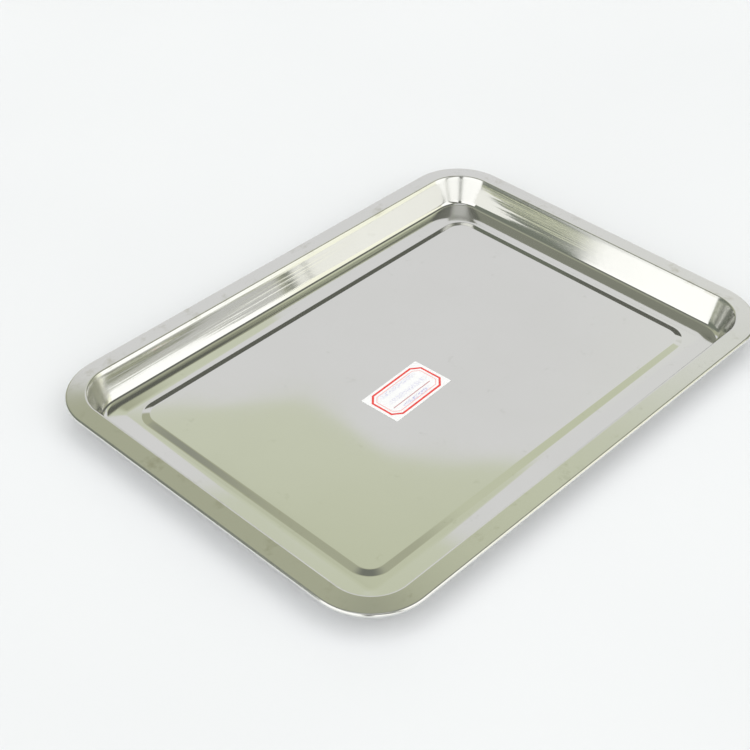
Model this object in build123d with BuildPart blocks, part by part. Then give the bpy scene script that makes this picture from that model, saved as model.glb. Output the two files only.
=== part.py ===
"""Shallow rectangular serving tray pressed from one stainless steel sheet, with a paper label stuck on it.

Frame: millimetres, +Z up, +X along the tray's long side. The origin is at the middle of the tray,
on the surface that it stands on.
"""

import os
from math import cos, radians, sin, tan

from build123d import *

# ---------------------------------------------------------------- driving dimensions

# the whole tray
tray_length = 400.0
tray_width = 292.4
sheet_thickness = 0.5
well_depth = 20.5  # from the flange's inner corner down to the flat part of the floor's border

# the edge of the flange, rolled outwards and under
roll_diameter = 3.0
roll_wrap = 265.0  # degrees of curl, from the flange round to the cut edge

# the flange and the wall
flange_width = 12.5  # from the outline to the start of the bend above the wall
flange_droop = 4.0  # the flange falls outwards by this much from the horizontal
flange_bend_radius = 1.4
wall_angle = 67.0  # from the horizontal
cove_radius = 4.5  # between the wall and the floor

# the floor's border: first a strip that still falls a little towards the middle, then a flat one
slope_width = 13.1  # from the foot of the wall, as if the cove were sharp
border_slope = 2.6  # from the horizontal
slope_blend_radius = 60.0  # where the sloping strip turns level
flat_width = 5.3  # from the end of the slope to the foot of the panel
floor_corner_radius = 5.9  # of the slope's inner end, seen from above; the rim's corners are concentric

# the raised panel in the middle
panel_height = 0.68
panel_slope = 8.0  # of its edge, from the horizontal
panel_blend_radius = 5.0  # at the foot and at the brow of that edge
panel_corner_radius = 16.0  # of its foot, seen from above

# the paper label, stuck a little askew on the raised panel
label_length = 55.1
label_width = 30.7
label_paper_thickness = 0.10
label_glue_thickness = 0.04
label_glue_margin = 0.3  # the glue film stops this far inside the paper's edge
label_center_x = -20.2
label_center_y = -5.1
label_turn = 2.8  # degrees, anticlockwise from above

# ---------------------------------------------------------------- derived sizes

floor_top = sheet_thickness
flange_top = floor_top + well_depth
roll_radius = roll_diameter / 2

# insets are measured inwards from the tray's outline
slope_rise = slope_width * tan(radians(border_slope))
slope_blend_run = slope_blend_radius * tan(radians(border_slope) / 2)
droop = radians(flange_droop)
wall_top_inset = flange_width + flange_bend_radius * tan((radians(wall_angle) + droop) / 2) * cos(droop)
wall_foot_inset = wall_top_inset + (well_depth - slope_rise) / tan(radians(wall_angle))
slope_end_inset = wall_foot_inset + slope_width
tray_corner_radius = floor_corner_radius + slope_end_inset

# the flange meets the roll where both have the same direction
flange_start_inset = roll_radius * (1 - sin(droop))
flange_start_height = flange_top - (wall_top_inset - flange_start_inset) * tan(droop)
roll_center_height = flange_start_height - roll_radius * cos(droop)

panel_foot_inset = slope_end_inset + flat_width
panel_top = floor_top + panel_height
panel_blend_run = panel_blend_radius * tan(radians(panel_slope) / 2)
panel_edge_lean = panel_height / tan(radians(panel_slope))
panel_edge_run = panel_edge_lean + 2 * panel_blend_run

# The sheet is split in the middle of the flat strip, which is level on both sides of the seam.
seam_inset = (slope_end_inset + slope_blend_run + panel_foot_inset) / 2
seam_length = tray_length - 2 * seam_inset
seam_width = tray_width - 2 * seam_inset
seam_radius = tray_corner_radius - seam_inset

panel_length = tray_length - 2 * panel_foot_inset
panel_width = tray_width - 2 * panel_foot_inset
panel_brow_length = panel_length - 2 * panel_edge_run
panel_brow_width = panel_width - 2 * panel_edge_run
panel_brow_radius = panel_corner_radius - panel_edge_run


def ring(section, length, width, radius):
    """Carry a section round a rounded rectangle.

    The section's own x is the distance in from the rectangle's outline and its y is the height.
    Each pass of the loop makes one straight side and the corner at its far end.
    """
    for turn in (0, 90, 180, 270):
        run, across = (length, width) if turn in (0, 180) else (width, length)
        along = Vector(1, 0, 0).rotate(Axis.Z, turn)
        inward = Vector(0, 1, 0).rotate(Axis.Z, turn)
        straight = run / 2 - radius
        middle = inward * (-across / 2)
        side = Plane(origin=middle, x_dir=inward, z_dir=along)
        with BuildSketch(side) as middle_cut:
            add(section)
        extrude(middle_cut.sketch, amount=straight, both=True)
        with BuildSketch(side.offset(straight)) as corner_cut:
            add(section)
        corner_axis = Axis(middle + along * straight + inward * radius, (0, 0, 1))
        revolve(corner_cut.sketch, axis=corner_axis, revolution_arc=90)


# ---------------------------------------------------------------- tray pan: one pressed sheet

# From the cut edge of the roll, over the flange, down the wall and along the sloping strip to the seam.
with BuildSketch() as rim_section:
    with BuildLine():
        CenterArc((roll_radius, roll_center_height), roll_radius, 90 + flange_droop, roll_wrap)
        FilletPolyline(
            (flange_start_inset, flange_start_height),
            (wall_top_inset, flange_top),
            (wall_foot_inset, floor_top + slope_rise),
            (slope_end_inset, floor_top),
            (seam_inset, floor_top),
            radius=[flange_bend_radius, cove_radius, slope_blend_radius],
        )
        offset(amount=sheet_thickness, side=Side.LEFT)
    make_face()

# The edge of the raised panel: up from the flat strip, with a blend at its foot and one at its brow.
with BuildSketch() as panel_section:
    with BuildLine():
        FilletPolyline(
            (-panel_blend_run, floor_top),
            (panel_blend_run, floor_top),
            (panel_blend_run + panel_edge_lean, panel_top),
            (panel_edge_run + panel_blend_run, panel_top),
            radius=[panel_blend_radius, panel_blend_radius],
        )
        offset(amount=sheet_thickness, side=Side.LEFT)
    make_face()

with BuildPart() as tray_pan:
    ring(rim_section.sketch, tray_length, tray_width, tray_corner_radius)
    ring(panel_section.sketch, panel_length, panel_width, panel_corner_radius)
    with BuildSketch():
        RectangleRounded(seam_length, seam_width, seam_radius)
        RectangleRounded(panel_length, panel_width, panel_corner_radius, mode=Mode.SUBTRACT)
    extrude(amount=sheet_thickness)
    with BuildSketch(Plane.XY.offset(panel_height)):
        RectangleRounded(panel_brow_length, panel_brow_width, panel_brow_radius)
    extrude(amount=sheet_thickness)

tray_pan.part.label = "tray_pan"

# ---------------------------------------------------------------- label: glue film and paper

label_place = Plane(origin=(label_center_x, label_center_y, panel_top)).rotated((0, 0, label_turn))

with BuildPart() as label_glue:
    with BuildSketch(label_place):
        Rectangle(label_length - 2 * label_glue_margin, label_width - 2 * label_glue_margin)
    extrude(amount=label_glue_thickness)

label_glue.part.label = "label_glue"

with BuildPart() as label_paper:
    with BuildSketch(label_place.offset(label_glue_thickness)):
        Rectangle(label_length, label_width)
    extrude(amount=label_paper_thickness)

label_paper.part.label = "label_paper"

# ---------------------------------------------------------------- files

os.makedirs("parts", exist_ok=True)
export_step(tray_pan.part, "parts/tray_pan.step")
export_step(label_glue.part, "parts/label_glue.step")
export_step(label_paper.part, "parts/label_paper.step")

box = tray_pan.part.bounding_box()
print("tray", round(box.size.X, 2), round(box.size.Y, 2), round(box.size.Z, 2))
print("solids", len(tray_pan.part.solids()), "faces", len(tray_pan.part.faces()))
print("steel mass, kg", round(tray_pan.part.volume * 7.93e-6, 3))
print("the wall's foot is", round(wall_foot_inset, 2), "in and the panel's foot", round(panel_foot_inset, 2))
print("corner radius", round(tray_corner_radius, 2), "outside and", round(seam_radius, 2), "at the seam")
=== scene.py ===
"""Looks of the shallow stainless steel tray with its paper label, in metres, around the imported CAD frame."""

from math import cos, degrees, pi, radians, sin, tan

import bpy
import numpy as np
from mathutils import Matrix, Vector


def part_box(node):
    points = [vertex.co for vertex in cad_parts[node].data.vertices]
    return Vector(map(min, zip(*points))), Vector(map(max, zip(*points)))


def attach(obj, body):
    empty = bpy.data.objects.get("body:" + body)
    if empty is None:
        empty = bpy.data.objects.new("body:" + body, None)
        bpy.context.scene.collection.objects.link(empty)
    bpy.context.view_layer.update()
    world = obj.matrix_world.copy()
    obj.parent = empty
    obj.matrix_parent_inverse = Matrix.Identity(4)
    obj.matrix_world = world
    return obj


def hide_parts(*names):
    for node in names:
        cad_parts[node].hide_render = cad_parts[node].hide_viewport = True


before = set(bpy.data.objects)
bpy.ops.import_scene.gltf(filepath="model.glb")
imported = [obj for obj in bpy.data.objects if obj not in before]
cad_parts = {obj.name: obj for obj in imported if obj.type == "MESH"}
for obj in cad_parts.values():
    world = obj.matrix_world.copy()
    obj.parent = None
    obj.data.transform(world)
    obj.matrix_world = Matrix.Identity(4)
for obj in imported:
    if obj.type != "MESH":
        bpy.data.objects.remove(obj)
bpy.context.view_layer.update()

MM = 0.001

# ---------------------------------------------------------------- the tray's sizes

# They are the CAD model's, but for the floor's sloping strip. It runs 1.1 mm further in, and the flat strip
# beside it is that much narrower. The outline and the panel's foot stay. The wall's foot is 0.05 mm higher.

tray_low, tray_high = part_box("tray_pan")
tray_length = tray_high.x - tray_low.x
tray_width = tray_high.y - tray_low.y

sheet = 0.5 * MM
floor_top = sheet
well_depth = 20.5 * MM
flange_top = floor_top + well_depth
roll_radius = 1.5 * MM
roll_wrap = radians(265)
flange_width = 12.5 * MM
flange_droop = radians(4)
flange_bend_radius = 1.4 * MM
wall_angle = radians(67)
cove_radius = 4.5 * MM
slope_width = 14.2 * MM  # this and the next two differ from the CAD model's by 1.1 mm
flat_width = 4.2 * MM
floor_corner_radius = 4.8 * MM
border_slope = radians(2.6)
slope_blend_radius = 60.0 * MM
panel_height = 0.68 * MM
panel_slope = radians(8)
panel_blend_radius = 5.0 * MM
panel_corner_radius = 16.0 * MM

slope_rise = slope_width * tan(border_slope)
slope_blend_run = slope_blend_radius * tan(border_slope / 2)
wall_top_inset = flange_width + flange_bend_radius * tan((wall_angle + flange_droop) / 2) * cos(flange_droop)
wall_foot_inset = wall_top_inset + (well_depth - slope_rise) / tan(wall_angle)
slope_end_inset = wall_foot_inset + slope_width
tray_corner_radius = floor_corner_radius + slope_end_inset
flange_start_inset = roll_radius * (1 - sin(flange_droop))
flange_start_height = flange_top - (wall_top_inset - flange_start_inset) * tan(flange_droop)
roll_center_height = flange_start_height - roll_radius * cos(flange_droop)
panel_foot_inset = slope_end_inset + flat_width
seam_inset = (slope_end_inset + slope_blend_run + panel_foot_inset) / 2
panel_top = floor_top + panel_height

label_low, label_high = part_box("label_paper")
label_center = (label_low + label_high) / 2
label_length = 55.1 * MM
label_width = 30.7 * MM
label_turn = radians(2.8)
paper_thickness = 0.10 * MM
glue_thickness = 0.04 * MM
glue_margin = 0.3 * MM

# soft waves left in the floor: none within the first distance from the outline, full height from the second
wave_from = 46.0 * MM
wave_full = 80.0 * MM

# how many degrees the wall leans off its slope, at these shares of its length from the flange down
lean_shares = (0, 0.18, 1)
lean_degrees = (-2.2, 1.2, -1.0)
lean_at_back_left = 4.0  # times as much at the left end of the back wall

# the label's print, in millimetres from its middle
frame_half_length = 25.3
frame_half_width = 13.5
frame_cut_length = 6.2
frame_cut_width = 5.2
frame_line = 1.5
inner_gap = 1.6
inner_line = 0.6
rule_height = -5.1
rule_left = -18.9
rule_right = 17.8
rule_line = 0.75
print_blur = 0.09


# ---------------------------------------------------------------- node helpers

class Nodes:
    """A short way to write a node tree. Each call adds one node, and all but add return its output socket."""

    def __init__(self, tree):
        self.tree = tree
        tree.nodes.clear()

    def add(self, kind, inputs=None, **settings):
        node = self.tree.nodes.new(kind)
        for key, value in settings.items():
            setattr(node, key, value)
        for key, value in (inputs or {}).items():
            socket = node.inputs[key]
            if isinstance(value, bpy.types.NodeSocket):
                self.tree.links.new(value, socket)
            else:
                socket.default_value = value
        return node

    def math(self, operation, *values):
        return self.add("ShaderNodeMath", dict(enumerate(values)), operation=operation).outputs[0]

    def step(self, value, low, high, start=0.0, end=1.0):
        """start up to low, end from high on, and a smooth change between them."""
        inputs = {0: value, 1: low, 2: high, 3: start, 4: end}
        return self.add("ShaderNodeMapRange", inputs, interpolation_type="SMOOTHSTEP").outputs[0]

    def noise(self, vector, scale, detail=2.0, roughness=0.5):
        inputs = {"Vector": vector, "Scale": scale, "Detail": detail, "Roughness": roughness}
        return self.add("ShaderNodeTexNoise", inputs).outputs[0]

    def stretch(self, vector, scale):
        return self.add("ShaderNodeMapping", {"Vector": vector, "Scale": scale}).outputs[0]

    def mix(self, factor, first, second):
        """A colour mix."""
        inputs = {0: factor, 6: first, 7: second}
        return self.add("ShaderNodeMix", inputs, data_type="RGBA").outputs[2]


def new_material(name):
    material = bpy.data.materials.new(name)
    material.use_nodes = True
    return material, Nodes(material.node_tree)


def finish_material(n, inputs):
    shader = n.add("ShaderNodeBsdfPrincipled", inputs)
    n.add("ShaderNodeOutputMaterial", {"Surface": shader.outputs[0]})


# ---------------------------------------------------------------- materials

def steel_material():
    """Bright-rolled stainless: a nearly mirror floor, a duller flange, and walls with fine drawn streaks."""
    material, n = new_material("stainless_sheet")
    place = n.add("ShaderNodeTexCoord").outputs["Object"]
    along = n.add("ShaderNodeUVMap", uv_map="sheet").outputs[0]
    spot = n.add("ShaderNodeSeparateXYZ", {0: place}).outputs
    on_flange = n.step(spot["Z"], flange_top - 2.4 * MM, flange_top - 1.0 * MM)
    above_floor = n.step(spot["Z"], floor_top + 1.5 * MM, floor_top + 4 * MM)
    on_wall = n.math("MULTIPLY", above_floor, n.math("SUBTRACT", 1.0, on_flange))

    cloud = n.noise(place, 14.0, 3.0, 0.6)
    fine = n.noise(place, 260.0, 3.0, 0.6)
    streak = n.noise(n.stretch(along, (9.0, 420.0, 1.0)), 1.0, 2.0, 0.5)

    # the drawn corners of the wall
    corner_x = tray_length / 2 - tray_corner_radius
    corner_y = tray_width / 2 - tray_corner_radius
    into_x = n.step(n.math("ABSOLUTE", spot["X"]), corner_x - 4 * MM, corner_x + 10 * MM)
    into_y = n.step(n.math("ABSOLUTE", spot["Y"]), corner_y - 4 * MM, corner_y + 10 * MM)
    in_corner = n.math("MULTIPLY", n.math("MULTIPLY", into_x, into_y), on_wall)

    # nearly a mirror on the floor, duller on the flange and where the wall was drawn round a corner
    rough = n.step(cloud, 0.3, 0.7, 0.045, 0.06)
    rough = n.math("ADD", rough, n.math("MULTIPLY", on_flange, 0.10))
    rough = n.math("ADD", rough, n.math("MULTIPLY", on_wall, 0.03))
    rough = n.math("ADD", rough, n.math("MULTIPLY", in_corner, 0.16))
    rough = n.math("ADD", rough, n.step(fine, 0.3, 0.7, -0.005, 0.005))

    # old stains on the flange, and faint smudges all over
    stain = n.math("MULTIPLY", n.step(n.noise(place, 55.0, 4.0, 0.65), 0.55, 0.75), on_flange)
    smudge = n.step(n.noise(place, 60.0, 4.0, 0.7), 0.62, 0.74, 0.0, 0.30)
    bright = (0.80, 0.80, 0.775, 1)
    less_bright = (0.785, 0.785, 0.757, 1)
    smudged = (0.62, 0.62, 0.57, 1)
    stained = (0.46, 0.44, 0.32, 1)
    colour = n.mix(n.step(cloud, 0.25, 0.75), bright, less_bright)
    colour = n.mix(smudge, colour, smudged)
    colour = n.mix(n.math("MULTIPLY", stain, 0.4), colour, stained)

    # streaks that the drawing left on the wall
    relief = n.math("MULTIPLY", streak, on_wall)
    bump = n.add("ShaderNodeBump", {"Strength": 1.0, "Distance": 0.04 * MM, "Height": relief})
    finish_material(n, {
        "Base Color": colour,
        "Metallic": 1.0,
        "Roughness": rough,
        "Normal": bump.outputs[0],
    })
    return material


def paper_material():
    """White coated paper: a red frame of cut corners, a fine line inside it, a ruled line and stamp ink."""
    material, n = new_material("label_paper")
    place = n.add("ShaderNodeTexCoord").outputs["Object"]
    print_place = n.add("ShaderNodeUVMap", uv_map="print").outputs[0]
    parts = n.add("ShaderNodeSeparateXYZ", {0: print_place}).outputs
    across = parts["X"]
    up = parts["Y"]
    fibre = n.noise(place, 1800.0, 3.0, 0.6)
    cloud = n.noise(place, 90.0, 2.0, 0.5)
    patch = n.noise(place, 420.0, 3.0, 0.6)
    colour = n.mix(n.step(cloud, 0.3, 0.7), (0.86, 0.86, 0.875, 1), (0.83, 0.83, 0.85, 1))

    # how far a point lies outside the frame's outer edge: an eight-sided figure
    beyond_end = n.math("SUBTRACT", n.math("ABSOLUTE", across), frame_half_length)
    beyond_side = n.math("SUBTRACT", n.math("ABSOLUTE", up), frame_half_width)
    slant = (frame_cut_length ** 2 + frame_cut_width ** 2) ** 0.5
    end_share = n.math("MULTIPLY", beyond_end, frame_cut_width / slant)
    past_cut_start = n.math("ADD", beyond_side, frame_cut_width)
    side_share = n.math("MULTIPLY", past_cut_start, frame_cut_length / slant)
    beyond_cut = n.math("ADD", end_share, side_share)
    beyond = n.math("MAXIMUM", n.math("MAXIMUM", beyond_end, beyond_side), beyond_cut)

    def line(value, start, end, soft=print_blur):
        """1 from start to end and 0 outside, with soft ends."""
        rise = n.step(value, start - soft, start + soft)
        fall = n.step(value, end - soft, end + soft, 1.0, 0.0)
        return n.math("MULTIPLY", rise, fall)

    ink = n.mix(n.step(patch, 0.35, 0.7), (0.70, 0.035, 0.03, 1), (0.76, 0.09, 0.075, 1))
    colour = n.mix(line(beyond, -frame_line, 0.0), colour, ink)
    inner_start = -frame_line - inner_gap
    inner = n.math("MULTIPLY", line(beyond, inner_start - inner_line, inner_start), 0.75)
    colour = n.mix(inner, colour, (0.80, 0.30, 0.28, 1))
    on_rule = line(up, rule_height - rule_line / 2, rule_height + rule_line / 2)
    rule = n.math("MULTIPLY", on_rule, line(across, rule_left, rule_right))
    colour = n.mix(n.math("MULTIPLY", rule, 0.85), colour, (0.46, 0.16, 0.17, 1))

    # faded stamp ink, in three loose rows of blots
    blot = n.step(n.noise(n.stretch(print_place, (0.55, 1.1, 1.0)), 1.0, 3.0, 0.6), 0.46, 0.58)
    low_row = n.math("MULTIPLY", line(up, -9.6, -7.0, 0.8), line(across, -12.0, 13.0, 3.0))
    high_row = n.math("MULTIPLY", line(up, 6.0, 9.4, 0.8), line(across, -17.0, 16.0, 3.0))
    middle_row = n.math("MULTIPLY", line(up, -2.0, 1.6, 0.8), line(across, -16.0, 18.0, 3.0))
    stamp = n.math("ADD", n.math("MULTIPLY", low_row, 0.8), n.math("MULTIPLY", high_row, 0.45))
    stamp = n.math("ADD", stamp, n.math("MULTIPLY", middle_row, 0.4))
    colour = n.mix(n.math("MULTIPLY", stamp, blot), colour, (0.34, 0.32, 0.62, 1))

    bump = n.add("ShaderNodeBump", {"Strength": 0.2, "Distance": 0.03 * MM, "Height": fibre})
    finish_material(n, {
        "Base Color": colour,
        "Roughness": n.step(fibre, 0.3, 0.7, 0.42, 0.55),
        "Normal": bump.outputs[0],
    })
    return material


def glue_material():
    material, n = new_material("label_glue")
    place = n.add("ShaderNodeTexCoord").outputs["Object"]
    cloud = n.noise(place, 300.0, 2.0, 0.5)
    finish_material(n, {
        "Base Color": n.mix(cloud, (0.72, 0.70, 0.60, 1), (0.60, 0.58, 0.48, 1)),
        "Roughness": n.step(cloud, 0.3, 0.7, 0.25, 0.4),
    })
    return material


def floor_material():
    """A matt pale board."""
    material, n = new_material("studio_floor")
    place = n.add("ShaderNodeTexCoord").outputs["Object"]
    cloud = n.noise(place, 2.2, 2.0, 0.5)
    grain = n.noise(place, 700.0, 2.0, 0.5)
    colour = n.mix(n.step(cloud, 0.3, 0.7), (0.765, 0.775, 0.80, 1), (0.785, 0.795, 0.82, 1))
    finish_material(n, {
        "Base Color": colour,
        "Roughness": n.step(grain, 0.3, 0.7, 0.75, 0.85),
        "Specular IOR Level": 0.2,
    })
    return material


# ---------------------------------------------------------------- the pressed sheet

class Section:
    """A line drawn by straight runs and bends. Each point holds the inset, the height and the heading."""

    support = 0.25 * MM  # an extra point this far inside each end of a straight run

    def __init__(self, inset, height, heading):
        self.inset, self.height, self.heading = inset, height, heading
        self.points = [(inset, height, heading)]

    def move(self, distance):
        self.inset += distance * cos(self.heading)
        self.height += distance * sin(self.heading)
        self.points.append((self.inset, self.height, self.heading))

    def straight(self, distance, pieces):
        inner = distance - 2 * self.support
        self.move(self.support)
        for _ in range(pieces):
            self.move(inner / pieces)
        self.move(self.support)

    def bend(self, radius, turn, pieces):
        step = turn / pieces
        chord = 2 * radius * sin(abs(step) / 2)
        for _ in range(pieces):
            self.heading += step / 2
            self.move(chord)
            self.heading += step / 2
            self.points[-1] = (self.inset, self.height, self.heading)

    def rows(self):
        return np.array(self.points)


def outline(length, width, radius, long_pieces, short_pieces, corner_pieces):
    """Points round a rounded rectangle, anticlockwise from its front side, with their inward directions."""
    points = []
    inward = []
    for turn, run, across, pieces in (
        (0, length, width, long_pieces), (90, width, length, short_pieces),
        (180, length, width, long_pieces), (270, width, length, short_pieces),
    ):
        forward = np.array([cos(radians(turn)), sin(radians(turn))])
        inside = np.array([-forward[1], forward[0]])
        half_run = run / 2 - radius
        for i in range(pieces):
            points.append(-inside * across / 2 + forward * (-half_run + 2 * half_run * i / pieces))
            inward.append(inside)
        corner = -inside * (across / 2 - radius) + forward * half_run
        for i in range(corner_pieces):
            angle = pi / 2 * i / corner_pieces
            outside = -inside * cos(angle) + forward * sin(angle)
            points.append(corner + outside * radius)
            inward.append(-outside)
    return np.array(points), np.array(inward)


def smooth_step(value, low, high):
    """0 up to low, 1 from high on, and a smooth change between them."""
    share = np.clip((value - low) / (high - low), 0, 1)
    return share * share * (3 - 2 * share)


def floor_wave(x, y):
    """How far the floor stands above its nominal height: the soft waves left in pressed sheet."""
    inset = np.minimum(tray_length / 2 - np.abs(x), tray_width / 2 - np.abs(y))

    # two waves that cross, 118 and 86 mm from crest to crest along x and along y
    wave = 0.022 * MM * np.sin(2 * pi * (x + 0.35 * y) / (118 * MM) + 0.6)
    wave += 0.018 * MM * np.sin(2 * pi * (y - 0.25 * x) / (86 * MM) + 1.9)
    return wave * smooth_step(inset, wave_from, wave_full)


def wall_bow(rows, first, last):
    """How far out each point of the wall moves when it leans a little either way and its ends stay."""
    pieces = last - first
    lean = np.radians(np.interp(np.linspace(0, 1, pieces + 1), lean_shares, lean_degrees))
    piece_lean = (lean[1:] + lean[:-1]) / 2
    piece_lean -= piece_lean.mean()
    piece_length = np.hypot(*(rows[last, :2] - rows[first, :2])) / pieces
    bow = np.zeros(len(rows))
    bow[first + 1:last + 1] = np.cumsum(piece_lean) * piece_length
    return bow


def pan_sections():
    """The sheet's upper side, cut across, as rows of points, with how far each row moves where the wall bows.

    The first rows run from the roll's cut edge to the seam, the others from there over the panel's edge.
    """
    wrap_end = pi / 2 + flange_droop + roll_wrap
    start_inset = roll_radius + roll_radius * cos(wrap_end)
    start_height = roll_center_height + roll_radius * sin(wrap_end)
    rim = Section(start_inset, start_height, wrap_end - pi / 2)
    rim.bend(roll_radius, -roll_wrap, 20)
    flange_bend_run = flange_bend_radius * tan((wall_angle + flange_droop) / 2)
    flange_run = (wall_top_inset - flange_start_inset) / cos(flange_droop) - flange_bend_run
    rim.straight(flange_run, 3)
    rim.bend(flange_bend_radius, -(wall_angle + flange_droop), 9)
    cove_run = cove_radius * tan((wall_angle - border_slope) / 2)
    wall_run = (well_depth - slope_rise) / sin(wall_angle) - flange_bend_run - cove_run
    wall_first = len(rim.points) - 1
    rim.straight(wall_run, 24)
    wall_last = len(rim.points) - 1
    rim.bend(cove_radius, wall_angle - border_slope, 16)
    rim.straight(slope_width / cos(border_slope) - cove_run - slope_blend_run, 3)
    rim.bend(slope_blend_radius, border_slope, 4)
    rim.straight(seam_inset - slope_end_inset - slope_blend_run, 1)

    edge = Section(seam_inset, floor_top, 0.0)
    panel_blend_run = panel_blend_radius * tan(panel_slope / 2)
    edge.straight(panel_foot_inset - seam_inset - panel_blend_run, 1)
    edge.bend(panel_blend_radius, panel_slope, 6)
    blend_rise = 2 * panel_blend_radius * (1 - cos(panel_slope))
    edge.straight((panel_height - blend_rise) / sin(panel_slope), 2)
    edge.bend(panel_blend_radius, -panel_slope, 6)
    edge.straight(2 * MM, 1)

    rim_rows = rim.rows()
    edge_rows = edge.rows()[1:]
    bow = np.append(wall_bow(rim_rows, wall_first, wall_last), np.zeros(len(edge_rows)))
    return rim_rows, edge_rows, bow


def pan_mesh():
    """The whole sheet, top and underside, as rings round the tray and a grid in the middle of the panel."""
    long_pieces, short_pieces, corner_pieces = 64, 42, 24
    pieces = (long_pieces, short_pieces, corner_pieces)
    foot_length = tray_length - 2 * panel_foot_inset
    foot_width = tray_width - 2 * panel_foot_inset
    rim_points, rim_inward = outline(tray_length, tray_width, tray_corner_radius, *pieces)
    foot_points, foot_inward = outline(foot_length, foot_width, panel_corner_radius, *pieces)
    count = len(rim_points)

    # each ring: its outline, the inward directions, and how far in, how high and how steep it is
    rim_rows, edge_rows, bow = pan_sections()
    rings = [(rim_points, rim_inward, *row) for row in rim_rows]
    rings += [(foot_points, foot_inward, inset - panel_foot_inset, *rest) for inset, *rest in edge_rows]

    # lengths along the section and round the outline, for the UV map
    section = np.concatenate([rim_rows, edge_rows])[:, :2]
    run = np.append(0, np.cumsum(np.linalg.norm(np.diff(section, axis=0), axis=1)))
    sides = np.linalg.norm(np.roll(rim_points, -1, 0) - rim_points, axis=1)
    round_length = np.append(0, np.cumsum(sides))

    # the back wall is bowed more towards its left end
    at_back = smooth_step(rim_points[:, 1], tray_width / 2 - tray_corner_radius, tray_width / 2)
    at_back_left = at_back * smooth_step(-rim_points[:, 0], 20 * MM, 140 * MM)
    bow_share = 1 + (lean_at_back_left - 1) * at_back_left

    verts, faces, uvs = [], [], []

    def ring_vertices(offset):
        """Add the rings' vertices, this far below the sheet's top. Returns the number of the first."""
        first = len(verts)
        for (points, inward, inset, height, heading), row_bow in zip(rings, bow):
            shift = row_bow * bow_share
            in_by = inset + offset * sin(heading) - shift * sin(wall_angle)
            z = height - offset * cos(heading) - shift * cos(wall_angle)
            xy = points + inward * in_by[:, None]
            verts.extend(np.column_stack([xy, z]).tolist())
        return first

    def centre_grid(offset):
        """Add the grid in the middle of the last ring. Returns the number of its first vertex."""
        first = len(verts)
        height = rings[-1][3]
        half_x = foot_length / 2 - panel_corner_radius
        half_y = foot_width / 2 - panel_corner_radius
        for y in np.linspace(-half_y, half_y, short_pieces + 1).tolist():
            for x in np.linspace(-half_x, half_x, long_pieces + 1).tolist():
                verts.append([x, y, height - offset])
        return first

    # the grid's edge, one place for each point of a ring: a corner's points all share one place
    row_length = long_pieces + 1
    last_x, last_y = long_pieces, short_pieces
    border = [(i, 0) for i in range(last_x)] + [(last_x, 0)] * corner_pieces
    border += [(last_x, j) for j in range(last_y)] + [(last_x, last_y)] * corner_pieces
    border += [(last_x - i, last_y) for i in range(last_x)] + [(0, last_y)] * corner_pieces
    border += [(0, last_y - j) for j in range(last_y)] + [(0, 0)] * corner_pieces
    border = [i + j * row_length for i, j in border]

    def skin(first, grid, upward):
        """Add the faces between the rings, between the last ring and the grid, and in the grid."""
        def put(loop, uv):
            faces.append(loop if upward else loop[::-1])
            uvs.append(uv if upward else uv[::-1])

        for k in range(len(rings) - 1):
            a = first + k * count
            b = a + count
            for i in range(count):
                j = (i + 1) % count
                u0, u1 = round_length[i], round_length[i + 1]
                v0, v1 = run[k], run[k + 1]
                put([a + i, a + j, b + j, b + i], [(u0, v0), (u1, v0), (u1, v1), (u0, v1)])
        last = first + (len(rings) - 1) * count
        for i in range(count):
            j = (i + 1) % count
            loop = [last + i, last + j, grid + border[i]]
            if border[i] != border[j]:
                loop = [last + i, last + j, grid + border[j], grid + border[i]]
            put(loop, [verts[v][:2] for v in loop])
        for j in range(short_pieces):
            for i in range(long_pieces):
                corner = grid + i + j * row_length
                loop = [corner, corner + 1, corner + 1 + row_length, corner + row_length]
                put(loop, [verts[v][:2] for v in loop])

    top_first = ring_vertices(0.0)
    top_grid = centre_grid(0.0)
    under_first = ring_vertices(sheet)
    under_grid = centre_grid(sheet)
    skin(top_first, top_grid, True)
    skin(under_first, under_grid, False)

    # the cut edge at the end of the roll
    for i in range(count):
        j = (i + 1) % count
        faces.append([top_first + j, top_first + i, under_first + i, under_first + j])
        uvs.append([(round_length[i], 0)] * 4)

    places = np.array(verts)
    places[:, 2] += floor_wave(places[:, 0], places[:, 1])
    mesh = bpy.data.meshes.new("pan_sheet")
    mesh.from_pydata(places.tolist(), [], faces)
    layer = mesh.uv_layers.new(name="sheet")
    layer.data.foreach_set("uv", np.array([place for face in uvs for place in face], np.float32).ravel())
    mesh.shade_smooth()
    mesh.update()
    mesh.validate()
    return mesh


def add_object(name, mesh, material):
    mesh.materials.append(material)
    obj = bpy.data.objects.new(name, mesh)
    bpy.context.scene.collection.objects.link(obj)
    return obj


pan = add_object("pan_sheet", pan_mesh(), steel_material())
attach(pan, "root")
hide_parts("tray_pan")


# ---------------------------------------------------------------- the label

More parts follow.
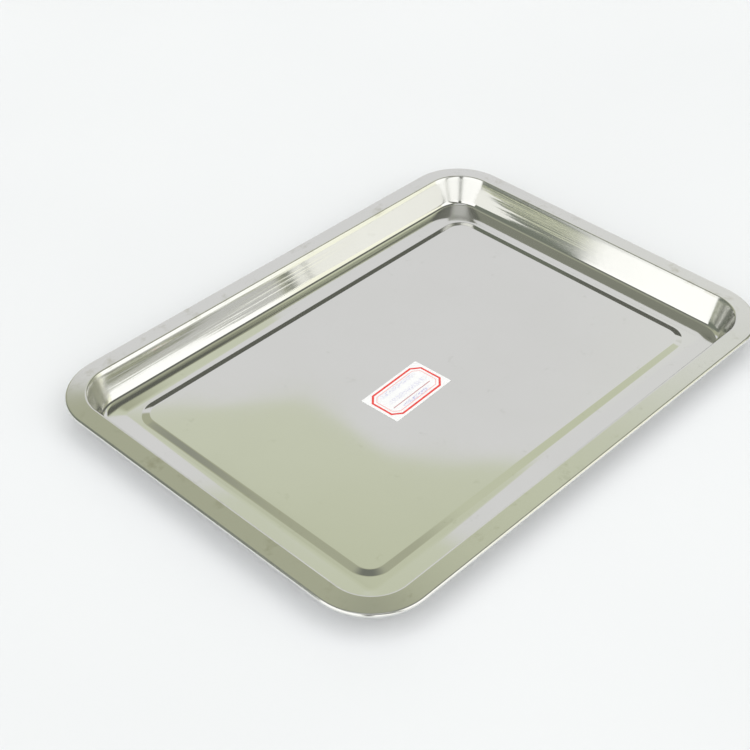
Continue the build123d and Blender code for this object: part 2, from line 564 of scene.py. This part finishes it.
def label_sheet(name, length, width, low, high):
    """A thin sheet that lies on the floor's waves, with its places in millimetres as a UV map."""
    across, along = 56, 32
    corner_trim = 0.105 * MM  # how far each corner is worn back, both ways
    us = np.linspace(-length / 2, length / 2, across + 1)
    vs = np.linspace(-width / 2, width / 2, along + 1)
    verts, prints, faces = [], [], []
    for level in (high, low):
        for j, v in enumerate(vs):
            for i, u in enumerate(us):
                at_corner = i in (0, across) and j in (0, along)
                u_in = u - np.sign(u) * corner_trim * at_corner
                v_in = v - np.sign(v) * corner_trim * at_corner
                x = label_center.x + u_in * cos(label_turn) - v_in * sin(label_turn)
                y = label_center.y + u_in * sin(label_turn) + v_in * cos(label_turn)
                verts.append((x, y, level + floor_wave(x, y)))
                prints.append((u_in / MM, v_in / MM))
    row = across + 1
    layer = row * (along + 1)
    for j in range(along):
        for i in range(across):
            k = i + j * row
            faces.append((k, k + 1, k + 1 + row, k + row))
            faces.append((layer + k, layer + k + row, layer + k + 1 + row, layer + k + 1))
    rim = list(range(across))
    rim += [across + j * row for j in range(along)]
    rim += [along * row + across - i for i in range(across)]
    rim += [(along - j) * row for j in range(along)]
    for a, b in zip(rim, rim[1:] + rim[:1]):
        faces.append((a, layer + a, layer + b, b))
    mesh = bpy.data.meshes.new(name)
    mesh.from_pydata(verts, [], faces)
    uv = mesh.uv_layers.new(name="print")
    corner_verts = [v for face in faces for v in face]
    uv.data.foreach_set("uv", np.array([prints[v] for v in corner_verts], np.float32).ravel())
    mesh.update()
    mesh.validate()
    return mesh


glue_top = panel_top + glue_thickness
glue_length = label_length - 2 * glue_margin
glue_width = label_width - 2 * glue_margin
glue_mesh = label_sheet("glue_film", glue_length, glue_width, panel_top, glue_top)
glue = add_object("glue_film", glue_mesh, glue_material())
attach(glue, "root")
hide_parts("label_glue")

paper_top = glue_top + paper_thickness
paper_mesh = label_sheet("paper_sheet", label_length, label_width, glue_top, paper_top)
paper = add_object("paper_sheet", paper_mesh, paper_material())
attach(paper, "root")
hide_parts("label_paper")


# ---------------------------------------------------------------- floor, light and camera

def studio_floor():
    half = 6.0
    corners = [(-half, -half, 0), (half, -half, 0), (half, half, 0), (-half, half, 0)]
    mesh = bpy.data.meshes.new("studio_floor")
    mesh.from_pydata(corners, [], [(0, 1, 2, 3)])
    floor = add_object("studio_floor", mesh, floor_material())
    floor.location.z = tray_low.z


def studio_world():
    """Soft cards round a dim studio, as the bright steel mirrors them, and a plain backdrop for the camera.

    Behind the tray a pale grey card stands low, with a green one above it and dull olive over that. A white
    card stands in front and one at the left, each with a darker end, and an even pale one hangs overhead.
    Angles are in degrees: the elevation, the azimuth from +X towards +Y, and how high a direction is above
    the front or the left horizon. Each step below is one soft edge of a card.
    """
    world = bpy.data.worlds.new("studio")
    world.use_nodes = True
    bpy.context.scene.world = world
    n = Nodes(world.node_tree)
    direction = n.add("ShaderNodeTexCoord").outputs["Generated"]
    parts = n.add("ShaderNodeSeparateXYZ", {0: direction}).outputs
    x = parts["X"]
    y = parts["Y"]
    z = parts["Z"]

    def angle(rise, run):
        return n.math("MULTIPLY", n.math("ARCTAN2", rise, run), degrees(1))

    elevation = n.math("MULTIPLY", n.math("ARCSINE", z), degrees(1))
    azimuth = angle(y, x)
    above_front = angle(z, n.math("MULTIPLY", y, -1.0))
    above_left = angle(z, n.math("MULTIPLY", x, -1.0))

    dark = (0.16, 0.165, 0.145, 1)
    white = (1.3, 1.3, 1.28, 1)
    cream = (1.15, 1.15, 0.97, 1)
    dull = (0.42, 0.43, 0.33, 1)
    pale = (0.72, 0.725, 0.72, 1)
    backdrop_colour = (0.86, 0.87, 0.89, 1)

    # behind the tray: grey, and green over it from an elevation that drops by 2 degrees towards the left
    grey_right = (0.82, 0.826, 0.81, 1)
    grey_left = (0.78, 0.78, 0.79, 1)
    green_low = (0.67, 0.70, 0.56, 1)
    green_high = (0.62, 0.65, 0.49, 1)
    away = n.mix(n.step(azimuth, 25.0, 36.0), grey_right, grey_left)
    above_grey = n.math("SUBTRACT", elevation, n.step(azimuth, 41.5, 47.0, 42.4, 40.2))
    soft = n.step(azimuth, 42.0, 46.0, 0.45, 0.15)
    in_green = n.step(above_grey, n.math("MULTIPLY", soft, -1.0), soft)
    green = n.mix(n.step(elevation, 41.0, 47.0), green_low, green_high)
    away = n.mix(in_green, away, green)

    # olive over the green, from an elevation that drops towards the left, with two darker parts
    olive_low = (0.45, 0.465, 0.34, 1)
    olive_high = (0.39, 0.405, 0.33, 1)
    darkest_olive = (0.20, 0.21, 0.18, 1)
    darker_olive = (0.31, 0.32, 0.27, 1)
    to_right = n.math("MAXIMUM", n.math("SUBTRACT", 43.0, azimuth), 0.0)
    to_left = n.math("MAXIMUM", n.math("SUBTRACT", azimuth, 43.0), 0.0)
    olive_from = n.math("ADD", 48.5, n.math("MULTIPLY", to_right, 0.26))
    olive_from = n.math("SUBTRACT", olive_from, n.math("MULTIPLY", to_left, 0.56))
    above_green = n.math("SUBTRACT", elevation, olive_from)
    olive = n.mix(n.step(elevation, 50.0, 75.0), olive_low, olive_high)
    above_middle = n.math("MULTIPLY", n.step(azimuth, 22.0, 40.0), n.step(azimuth, 50.0, 64.0, 1.0, 0.0))
    above_middle = n.math("MULTIPLY", above_middle, n.step(elevation, 55.5, 61.0))
    olive = n.mix(above_middle, olive, darkest_olive)
    at_left = n.math("MULTIPLY", n.step(azimuth, 63.0, 68.0), n.step(elevation, 47.0, 50.0))
    olive = n.mix(at_left, olive, darker_olive)
    away = n.mix(n.step(above_green, -1.5, 1.5), away, olive)

    # dull past both ends of the grey card
    beside = n.math("MULTIPLY", n.step(azimuth, 13.0, 18.0), n.step(azimuth, 66.0, 72.0, 1.0, 0.0))
    beside = n.math("MAXIMUM", beside, n.step(elevation, 36.0, 39.0))
    away = n.mix(beside, dull, away)

    # in front: a white card whose foot is dimmer, cream and then dull towards the right
    foot = (0.47, 0.48, 0.38, 1)
    front = n.mix(n.step(above_front, 1.8, 2.8), foot, white)
    front = n.mix(n.step(x, 0.54, 0.555), front, cream)
    front = n.mix(n.step(x, 0.66, 0.80), front, dull)
    front = n.mix(n.step(above_front, 62.5, 64.0), front, dark)

    # at the left: a white card, and behind it a dim stretch with one thin bright line
    dim_low = (0.40, 0.42, 0.33, 1)
    dim_high = (0.205, 0.225, 0.185, 1)
    bright_line = (1.1, 1.12, 0.80, 1)
    left = n.mix(n.step(above_left, 65.0, 66.5), white, dark)
    dim = n.mix(n.step(above_left, 6.5, 6.8), dim_low, dim_high)
    gleam = n.math("MULTIPLY", n.step(above_left, 5.9, 6.15), n.step(above_left, 6.4, 6.65, 1.0, 0.0))
    dim = n.mix(gleam, dim, bright_line)
    left = n.mix(n.step(y, 0.452, 0.462), left, dim)

    # a dark slit between the two white cards
    slit_half = n.step(elevation, 10.0, 40.0, 4.0, 8.0)
    from_slit = n.math("ABSOLUTE", n.math("ADD", azimuth, 139.0))
    in_slit = n.step(n.math("SUBTRACT", from_slit, slit_half), -1.0, 1.0, 1.0, 0.0)

    # which card a direction meets
    colour = n.mix(n.step(x, -0.08, -0.03), left, away)
    in_front = n.math("MULTIPLY", n.step(y, 0.06, 0.10, 1.0, 0.0), n.step(x, -0.05, 0.02))
    colour = n.mix(in_front, colour, front)
    colour = n.mix(in_slit, colour, dark)
    colour = n.mix(n.step(elevation, 73.0, 79.0), colour, pale)

    cards = n.add("ShaderNodeBackground", {"Color": colour, "Strength": 1.0})
    backdrop = n.add("ShaderNodeBackground", {"Color": backdrop_colour, "Strength": 1.0})
    seen = n.add("ShaderNodeLightPath").outputs["Is Camera Ray"]
    both = n.add("ShaderNodeMixShader", {0: seen, 1: cards.outputs[0], 2: backdrop.outputs[0]})
    n.add("ShaderNodeOutputWorld", {"Surface": both.outputs[0]})


def studio_sun():
    """A very soft light from above, so that the floor is pale all over. The steel doesn't mirror it."""
    data = bpy.data.lights.new("soft_sun", "SUN")
    data.energy = 1.78
    data.angle = radians(100)
    sun = bpy.data.objects.new("soft_sun", data)
    sun.rotation_euler = (radians(12), radians(-14), 0)
    sun.visible_glossy = False
    bpy.context.scene.collection.objects.link(sun)


def studio_camera():
    """A short telephoto view from in front and to the left, from well above the tray."""
    turn, rise, roll = radians(-46.888), radians(39.355), radians(0.748)
    distance = 975.68 * MM
    aim_right, aim_up = 31.06 * MM, 16.40 * MM
    back = Vector((sin(turn) * cos(rise), -cos(turn) * cos(rise), sin(rise)))
    level = Vector((cos(turn), sin(turn), 0))
    upright = back.cross(level)
    right = level * cos(roll) + upright * sin(roll)
    up = upright * cos(roll) - level * sin(roll)
    data = bpy.data.cameras.new("camera")
    data.sensor_width = 36.0
    data.lens = 71.47
    data.clip_start, data.clip_end = 0.01, 50.0
    camera = bpy.data.objects.new("camera", data)
    place = Vector((0, 0, flange_top)) + back * distance - right * aim_right - up * aim_up
    turn_matrix = Matrix((right, up, back)).transposed().to_4x4()
    camera.matrix_world = Matrix.Translation(place) @ turn_matrix
    bpy.context.scene.collection.objects.link(camera)
    bpy.context.scene.camera = camera


studio_floor()
studio_world()
studio_sun()
studio_camera()
bpy.context.scene.view_settings.view_transform = "Standard"
